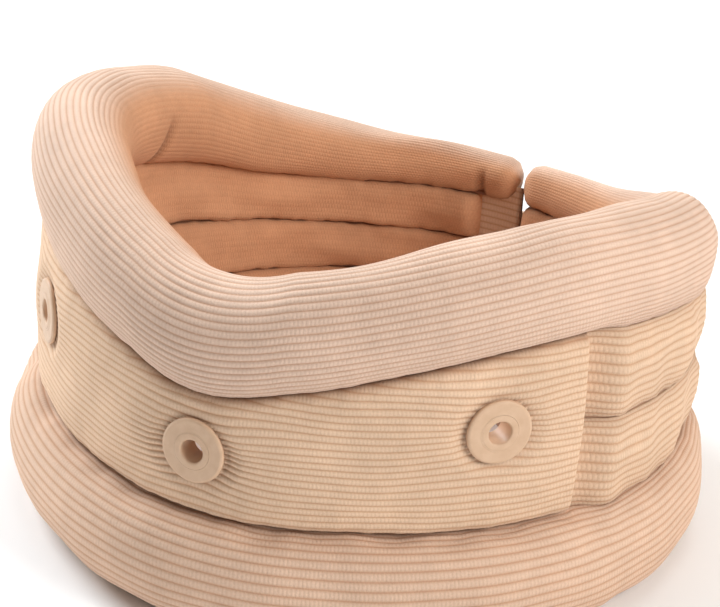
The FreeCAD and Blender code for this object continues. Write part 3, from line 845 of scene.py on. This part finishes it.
def band_piece(name, node, first, last, round_first, round_last, lift, rib_share):
    """Part of the front band's padded sleeve between two run lengths."""
    length, end_sink = band_stations(first, last, round_first, round_last)
    angle = angle_at(length)
    low, high = lower_seam(angle)[:, None] + BAND_GAP, upper_seam(angle)[:, None] - BAND_GAP
    edge, sink, share, back = curl_profile()
    flat = mix(low + BAND_CURL, high - BAND_CURL, share)
    behind_plate = mix(low, high, share)
    curled = np.where(share[None, :] < 0.5, low + BAND_CURL * edge, high - BAND_CURL * edge)
    height = np.where((sink == 0)[None, :], flat, curled)
    height = np.where(back[None, :], behind_plate, height)
    crown = BAND_CROWN * (1 - (2 * share - 1) ** 2)[None, :]
    run = length[:, None]
    reach = vent_reach(run, height)
    # a hem rises out of the cover over its first millimetre, so no edge shows there
    above = 2 * ease(np.abs(run), BAND_END - HEM_WIDTH, BAND_END - HEM_WIDTH + 1 * MM) - 1
    u = BAND_SURFACE + lift * above + crown - BAND_CURL * sink[None, :]
    dip = BAND_SURFACE - EYELET_SINK
    u = mix(u, np.minimum(u, dip), 1 - ease(reach, DIMPLE_INNER, DIMPLE_OUTER))
    u = np.where(back[None, :], BAND_BACK, mix(u, BAND_BACK, end_sink))
    shift, strength = vent_pull(run, height)
    sway = 0.12 * waves(run / (45 * MM), height / (16 * MM), 7)
    phase = (height - low + shift) / PITCH["panel"] + sway
    ribs = np.abs(np.sin(np.pi * phase)) ** 0.7 - 0.6
    patch = 1 + 0.3 * waves(run / (34 * MM), height / (18 * MM), 21)
    end_fade = 1 - rib_share * ease(np.abs(run), BAND_END - HEM_WIDTH, BAND_END - 1.5 * MM)
    out = BAND_RIB_DEPTH * ribs * patch * (1 + 0.7 * strength) * end_fade
    out = out + 0.25 * MM * waves(run / (30 * MM), height / (22 * MM), 5)
    edge_near = np.minimum(height - low, high - height)
    pucker = waves(run / (6 * MM), height / (30 * MM), 9) * np.exp(-edge_near / (4 * MM))
    out = (out + 0.2 * MM * pucker) * (1 - end_sink) * (1 - back)
    points = place(angle[:, None], u + out, height)
    knit = triples(run / MM, phase, 0)
    # painted shadow in a ring round each eyelet's flange; painted shade along the curled edges and
    # at the sunk ends
    ring = np.exp(-(reach - FLANGE_RADIUS) / (0.7 * MM)) * (reach > FLANGE_RADIUS)
    crease_shade = np.clip(0.6 * np.exp(-edge_near / (0.8 * MM)) + 0.5 * ring, 0, 1)
    crease_shade = np.maximum(crease_shade, 0.5 * end_sink ** 2)
    piece = grid_mesh(name, points, True, smooth_normals(points),
                      {"knit": knit, "crease_shade": crease_shade},
                      caps=(True, True), drop=reach < BARREL_CLEAR)
    dress(piece, KNIT_BAND, "ribbed_knit", "front", node)


def make_band():
    """Knit sleeve of the front band over its plate, with a folded hem at each end."""
    tuck = 2.4 * MM
    band_piece("band_cover", "support_panel_cover", -BAND_END + tuck, BAND_END - tuck,
               True, True, 0.0, 0.0)
    for side, first, last in (("left", -BAND_END, -BAND_END + HEM_WIDTH),
                              ("right", BAND_END - HEM_WIDTH, BAND_END)):
        band_piece("band_hem_" + side, "panel_hem_" + side, first, last,
                   side == "left", side == "right", HEM_LIFT, 0.75)


# ---- bands that lie along the wall

CORNER_STEPS, TAPE_SAMPLES, TAPE_STATION = 12, 40, 0.9 * MM


def rounded_rectangle(samples):
    """Closed outline of a flat band as (share of height, share of thickness), and its edges'
    rounding: shares run from 0 to 1 up the outer face and back down the inner one."""
    turn = np.linspace(0, np.pi, 9)[1:-1]
    up = np.linspace(0, 1, samples)
    rise = np.concatenate([up, np.ones(len(turn)), up[::-1], np.zeros(len(turn))])
    over = np.concatenate([0 * up, np.sin(turn), 0 * up, -np.sin(turn)])
    depth = np.concatenate([np.ones(samples), (1 + np.cos(turn)) / 2, np.zeros(samples),
                            (1 - np.cos(turn)) / 2])
    return rise, over, depth


def lay_band(name, node, run_ends, low, high, depths, corners, material, slot, body,
             ripple=0.0):
    """Flat band along the wall that stands for a CAD node, with rounded edges and, at its
    two ends, rounded corners. It's knit if it has a ripple, and tape if it has none.

    run_ends are run lengths, and only a band with the smaller one first gets its full
    thickness. depths are distances out, and low and high are heights. The high one may be a
    function of the angle.
    """
    first, last = run_ends
    inner_u, outer_u = depths
    thickness = outer_u - inner_u
    first_corner, last_corner = corners
    middle_length = last - first - first_corner - last_corner
    turn = np.linspace(0, np.pi / 2, CORNER_STEPS)[:-1]
    tip, narrow = 1 - np.cos(turn), 1 - np.sin(turn)
    inner = np.linspace(first + first_corner, last - last_corner,
                        max(6, round(middle_length / TAPE_STATION)) + 1)
    length = np.concatenate([first + first_corner * tip, inner, (last - last_corner * tip)[::-1]])
    shrink = np.concatenate([first_corner * narrow, 0 * inner, (last_corner * narrow)[::-1]])
    angle = angle_at(length)
    high = high(angle) if callable(high) else high
    inward = np.minimum(length - first, last - length)
    thin = np.maximum(dome(inward / (thickness / 2)), 0.05)[:, None]
    rise, over, depth = rounded_rectangle(TAPE_SAMPLES)
    start = (low + shrink + thickness / 2)[:, None]
    stop = (high - shrink - thickness / 2)[:, None]
    height = mix(start, stop, rise) + over * thickness / 2 * thin
    u = (inner_u + outer_u) / 2 + (depth - 0.5) * thickness * thin
    run = length[:, None]
    wavy = waves(run / (9 * MM), height / (7 * MM), 31) * np.where(depth > 0.5, 1, -1) * thin
    points = place(angle[:, None], u + ripple * wavy, height)
    if ripple:
        values = {"knit": triples(run / MM, height / PITCH["lower_roll"], 0),
                  "crease_shade": 0.0 * height}
    else:
        values = {"surface": triples(run / MM, height / MM, u / MM)}
    band = grid_mesh(name, points, True, attributes=values, caps=(True, True))
    dress(band, material, slot, body, node)
    return band


def make_threads(name, stitches, u, radius):
    """Short rounded stitches of thread on the wall, each between two (run length, height)
    places, as one piece."""
    blocks, faces, surface = [], [], []
    around, along = 8, 6
    turn = np.linspace(0, 2 * np.pi, around, endpoint=False)
    step = np.linspace(0, 1, along)
    for start, stop in stitches:
        middle = mix(start[None, :], stop[None, :], step[:, None])
        direction = (stop - start) / np.linalg.norm(stop - start)
        side = np.array([-direction[1], direction[0]])
        fat = radius * np.sqrt(np.maximum(1 - (2 * step - 1) ** 4, 0.02))[:, None]
        run = middle[:, :1] + side[0] * fat * np.cos(turn)
        height = middle[:, 1:] + side[1] * fat * np.cos(turn)
        points = place(angle_at(run), u + fat * np.sin(turn) * 0.8, height)
        index = len(blocks) * around * along + np.arange(around * along).reshape(along, around)
        after = np.roll(index, -1, axis=1)
        around_it = np.stack([index[:-1], after[:-1], after[1:], index[1:]], -1)
        faces += around_it.reshape(-1, 4).tolist()
        faces += [index[0][::-1].tolist(), index[-1].tolist()]
        blocks.append(points.reshape(-1, 3))
        surface.append(np.stack([run, height, 0 * run], -1).reshape(-1, 3) / MM)
    mesh = bpy.data.meshes.new(name)
    mesh.from_pydata(np.concatenate(blocks).tolist(), [], faces)
    mesh.shade_smooth()
    layer = mesh.attributes.new("surface", "FLOAT_VECTOR", "POINT")
    layer.data.foreach_set("vector", np.concatenate(surface).astype(np.float32).ravel())
    item = add_object(name, mesh)
    dress(item, THREAD, "thread", "left_wing", "closure_stitching")


# ---- eyelets and washers

CORNER_SHARES = np.linspace(0, 1, 5)


def rounded_corners(corners):
    """Closed outline with each corner (radius, height, rounding in mm) rounded off."""
    outline = []
    for k, (radius, height, rounding) in enumerate(corners):
        here = np.array([radius, height])
        before = np.array(corners[k - 1][:2]) - here
        after = np.array(corners[(k + 1) % len(corners)][:2]) - here
        first = here + before / np.linalg.norm(before) * (rounding * MM)
        last = here + after / np.linalg.norm(after) * (rounding * MM)
        for t in CORNER_SHARES:
            outline.append((1 - t) ** 2 * first + 2 * t * (1 - t) * here + t ** 2 * last)
    return np.array(outline)


def turned_ring(name, node, corners, vent, material):
    """Ring turned about a vent's axis from a rounded outline of radii and heights out."""
    angle, lift = vent
    outline = rounded_corners(corners)
    turn = np.linspace(0, 2 * np.pi, TURN_STEPS, endpoint=False)[:, None, None]
    radius, out = outline[None, :, :1], outline[None, :, 1:]
    axis = np.array([sin(angle), -cos(angle), 0])
    side, up = np.array([cos(angle), sin(angle), 0]), np.array([0, 0, 1])
    centre = place(angle, 0.0, middle_seam(angle) + lift)
    across = np.cos(turn) * side + np.sin(turn) * up
    points = centre + radius * across + out * axis
    points = np.concatenate([points, points[:1]])
    ring = grid_mesh(name, points, True, attributes={"surface": (points - centre) / MM})
    mesh = bmesh.new()
    mesh.from_mesh(ring.data)
    bmesh.ops.remove_doubles(mesh, verts=mesh.verts, dist=1e-7)
    bmesh.ops.recalc_face_normals(mesh, faces=mesh.faces)
    mesh.to_mesh(ring.data)
    mesh.free()
    ring.data.shade_smooth()
    dress(ring, material, "eyelet_plastic", "front", node)


def make_vents():
    top = FLANGE_SEAT + FLANGE_THICKNESS
    crest = top + RIM_HEIGHT
    end = -WASHER_SEAT - WASHER_THICKNESS
    hole = BARREL_RADIUS + WASHER_CLEARANCE
    for side, vent in VENTS.items():
        turned_ring("moulded_eyelet_" + side, "vent_eyelet_" + side, [
            (BORE_RADIUS, end, 0.3), (BORE_RADIUS, crest, 0.55),
            (RIM_RADIUS, crest, 0.3), (RIM_RADIUS + 0.5 * MM, top - 0.12 * MM, 0.3),
            (FLANGE_RADIUS - 0.6 * MM, top - 0.05 * MM, 0.2),
            (FLANGE_RADIUS, top - 0.4 * MM, 0.3), (FLANGE_RADIUS, FLANGE_SEAT, 0.2),
            (BARREL_RADIUS, FLANGE_SEAT, 0.2), (BARREL_RADIUS, end, 0.2),
        ], vent, EYELET_PLASTIC)
        turned_ring("moulded_washer_" + side, "eyelet_washer_" + side, [
            (hole, -WASHER_SEAT, 0.1), (FLANGE_RADIUS, -WASHER_SEAT, 0.2),
            (FLANGE_RADIUS, end, 0.4), (hole, end, 0.25),
        ], vent, WASHER_PLASTIC)


# ---- closure behind the neck

STRAP_LOW, STRAP_HIGH = 16 * MM, 50 * MM
STRAP_TIP, STRAP_ROOT, ANCHOR_END = 38 * MM, 8 * MM, 24 * MM
HOOK_START, HOOK_INSET = 8 * MM, 1.5 * MM
LOOP_START, LOOP_END, LOOP_MARGIN = 5 * MM, 42 * MM, 1.5 * MM
FLEX_GAP, HEM_TUCK, STITCH_INSET = 0.4 * MM, 1.5 * MM, 2.5 * MM
ROW_STITCHES = 14


def behind(distance):
    """Run length of a place this far along the back from the closure, to the +X side."""
    return RIGHT_RUN - distance


def beyond(distance):
    """Run length of a place this far from the closure on the -X side."""
    return -LEFT_RUN + distance


def make_closure():
    # the hem and the anchor are laid from their far end back to the closure, which leaves
    # both as thin sheets in the middle of their depth
    hem_length = END_HEM_LENGTH + HEM_TUCK
    hem = lay_band("end_hem", "end_hem_left",
                   (beyond(CLOSURE_GAP / 2 + hem_length), beyond(CLOSURE_GAP / 2)),
                   2 * MM, lambda angle: upper_seam(angle) + 8 * MM, (-5.8 * MM, 1.8 * MM),
                   (1 * MM, 2 * MM), KNIT_BAND, "ribbed_knit", "left_wing", 0.12 * MM)
    lay_band("anchor_tab", "strap_anchor", (beyond(ANCHOR_END), beyond(STRAP_ROOT + FLEX_GAP)),
             STRAP_LOW, STRAP_HIGH, (5.2 * MM, 7.9 * MM), (1.5 * MM, 0.6 * MM),
             STRAP_TAPE, "strap_webbing", "left_wing")
    lay_band("loop_tape", "loop_patch", (behind(LOOP_END), behind(LOOP_START)),
             STRAP_LOW - LOOP_MARGIN, STRAP_HIGH + LOOP_MARGIN, (5.1 * MM, 5.9 * MM),
             (1.5 * MM, 1.5 * MM), LOOP_TAPE, "loop_tape", "right_wing")
    lay_band("hook_tape", "hook_pad", (behind(STRAP_TIP - HOOK_INSET), behind(HOOK_START)),
             STRAP_LOW + HOOK_INSET, STRAP_HIGH - HOOK_INSET, (6.15 * MM, 6.95 * MM),
             (4 * MM, 1 * MM), HOOK_TAPE, "hook_tape", "strap")
    lay_band("strap_band", "closure_strap", (behind(STRAP_TIP), behind(-STRAP_ROOT)),
             STRAP_LOW, STRAP_HIGH, (7 * MM, 8.2 * MM), (5 * MM, 0.6 * MM),
             STRAP_TAPE, "strap_webbing", "strap")
    stitches = []
    for distance in (STRAP_ROOT + 2 * STITCH_INSET, ANCHOR_END - STITCH_INSET):
        run = beyond(distance)
        ends = np.linspace((run, STRAP_LOW + STITCH_INSET), (run, STRAP_HIGH - STITCH_INSET),
                           2 * ROW_STITCHES)
        stitches += zip(ends[0::2], ends[1::2])
    make_threads("closure_threads", stitches, 7.95 * MM, 0.38 * MM)


def dress_plate():
    """The plate stays as the CAD made it, in its own plastic."""
    item = bpy.data.objects["support_plate"]
    item.data.materials.clear()
    item.data.materials.append(PLATE_PLASTIC)


for strip in STRIPS:
    make_strip(strip)
make_band()
make_vents()
make_closure()
dress_plate()


# ---- camera, floor and light

CHIN_TO_TARGET = 64.3 * MM
TARGET = Vector((0, CHIN_TO_TARGET - MIDDLE, 0.050))
AZIMUTH, ELEVATION, ROLL = 26.28, 25.63, 4.03
DISTANCE = 0.70708
FOCAL_SHARE = 3.83        # focal length in pixels over the distance in millimetres
IMAGE_WIDTH, SENSOR_WIDTH = 720, 36.0
SHIFT_X, SHIFT_Y = 0.0499, 0.0614


def facing(azimuth, elevation):
    """Unit vector towards an azimuth from the chin side and an elevation."""
    return Vector((sin(azimuth) * cos(elevation), -cos(azimuth) * cos(elevation), sin(elevation)))


def make_camera():
    data = bpy.data.cameras.new("camera")
    data.sensor_width = SENSOR_WIDTH
    data.lens = FOCAL_SHARE * DISTANCE / MM * SENSOR_WIDTH / IMAGE_WIDTH
    data.shift_x, data.shift_y = SHIFT_X, SHIFT_Y
    camera = add_object("camera", data)
    back = facing(AZIMUTH, ELEVATION)
    right = Vector((cos(AZIMUTH), sin(AZIMUTH), 0))
    up = back.cross(right)
    axis_x = cos(ROLL) * right + sin(ROLL) * up
    axis_y = -sin(ROLL) * right + cos(ROLL) * up
    camera.matrix_world = Matrix.Translation(TARGET + back * DISTANCE) @ Matrix(
        (axis_x, axis_y, back)).transposed().to_4x4()
    bpy.context.scene.camera = camera


# azimuth, elevation, distance, size, power and colour of each soft light
LIGHTS = {
    "right": (86, 34, 1.4, 0.8, 13.6, (1.0, 0.985, 0.955)),
    "left": (-99, 33, 1.4, 0.8, 23, (0.88, 0.95, 1.0)),
    "top": (-170, 76, 1.5, 1.0, 5.9, (0.96, 0.985, 1.0)),
}
LIGHT_AIM = Vector((0, 0, 0.05))
FLOOR_REACH = 4.0
FLOOR_COLOUR, FLOOR_ROUGHNESS = (0.93, 0.93, 0.93, 1.0), 0.8
SKY_COLOUR, SKY_STRENGTH = (1.0, 0.975, 0.945, 1.0), 0.28


def make_light(name, azimuth, elevation, distance, size, power, colour):
    data = bpy.data.lights.new(name, "AREA")
    data.shape = "DISK"
    data.size = size
    data.energy = power
    data.color = colour
    light = add_object(name, data)
    back = facing(azimuth, elevation)
    light.location = LIGHT_AIM + back * distance
    light.rotation_mode = "QUATERNION"
    light.rotation_quaternion = back.to_track_quat("Z", "Y")


def make_stage():
    sides = (-FLOOR_REACH, FLOOR_REACH)
    floor = grid_mesh("floor", np.array([[(x, y, 0.0) for x in sides] for y in sides]))
    material, graph, shader = new_material("pale_floor")
    graph.fill(shader, {"Base Color": FLOOR_COLOUR, "Roughness": FLOOR_ROUGHNESS})
    floor.data.materials.append(material)
    world = bpy.data.worlds.new("studio")
    world.use_nodes = True
    sky = world.node_tree.nodes["Background"]
    sky.inputs["Color"].default_value = SKY_COLOUR
    sky.inputs["Strength"].default_value = SKY_STRENGTH
    bpy.context.scene.world = world
    for name, values in LIGHTS.items():
        make_light(name, *values)


make_camera()
make_stage()
bpy.context.scene.view_settings.view_transform = "Standard"
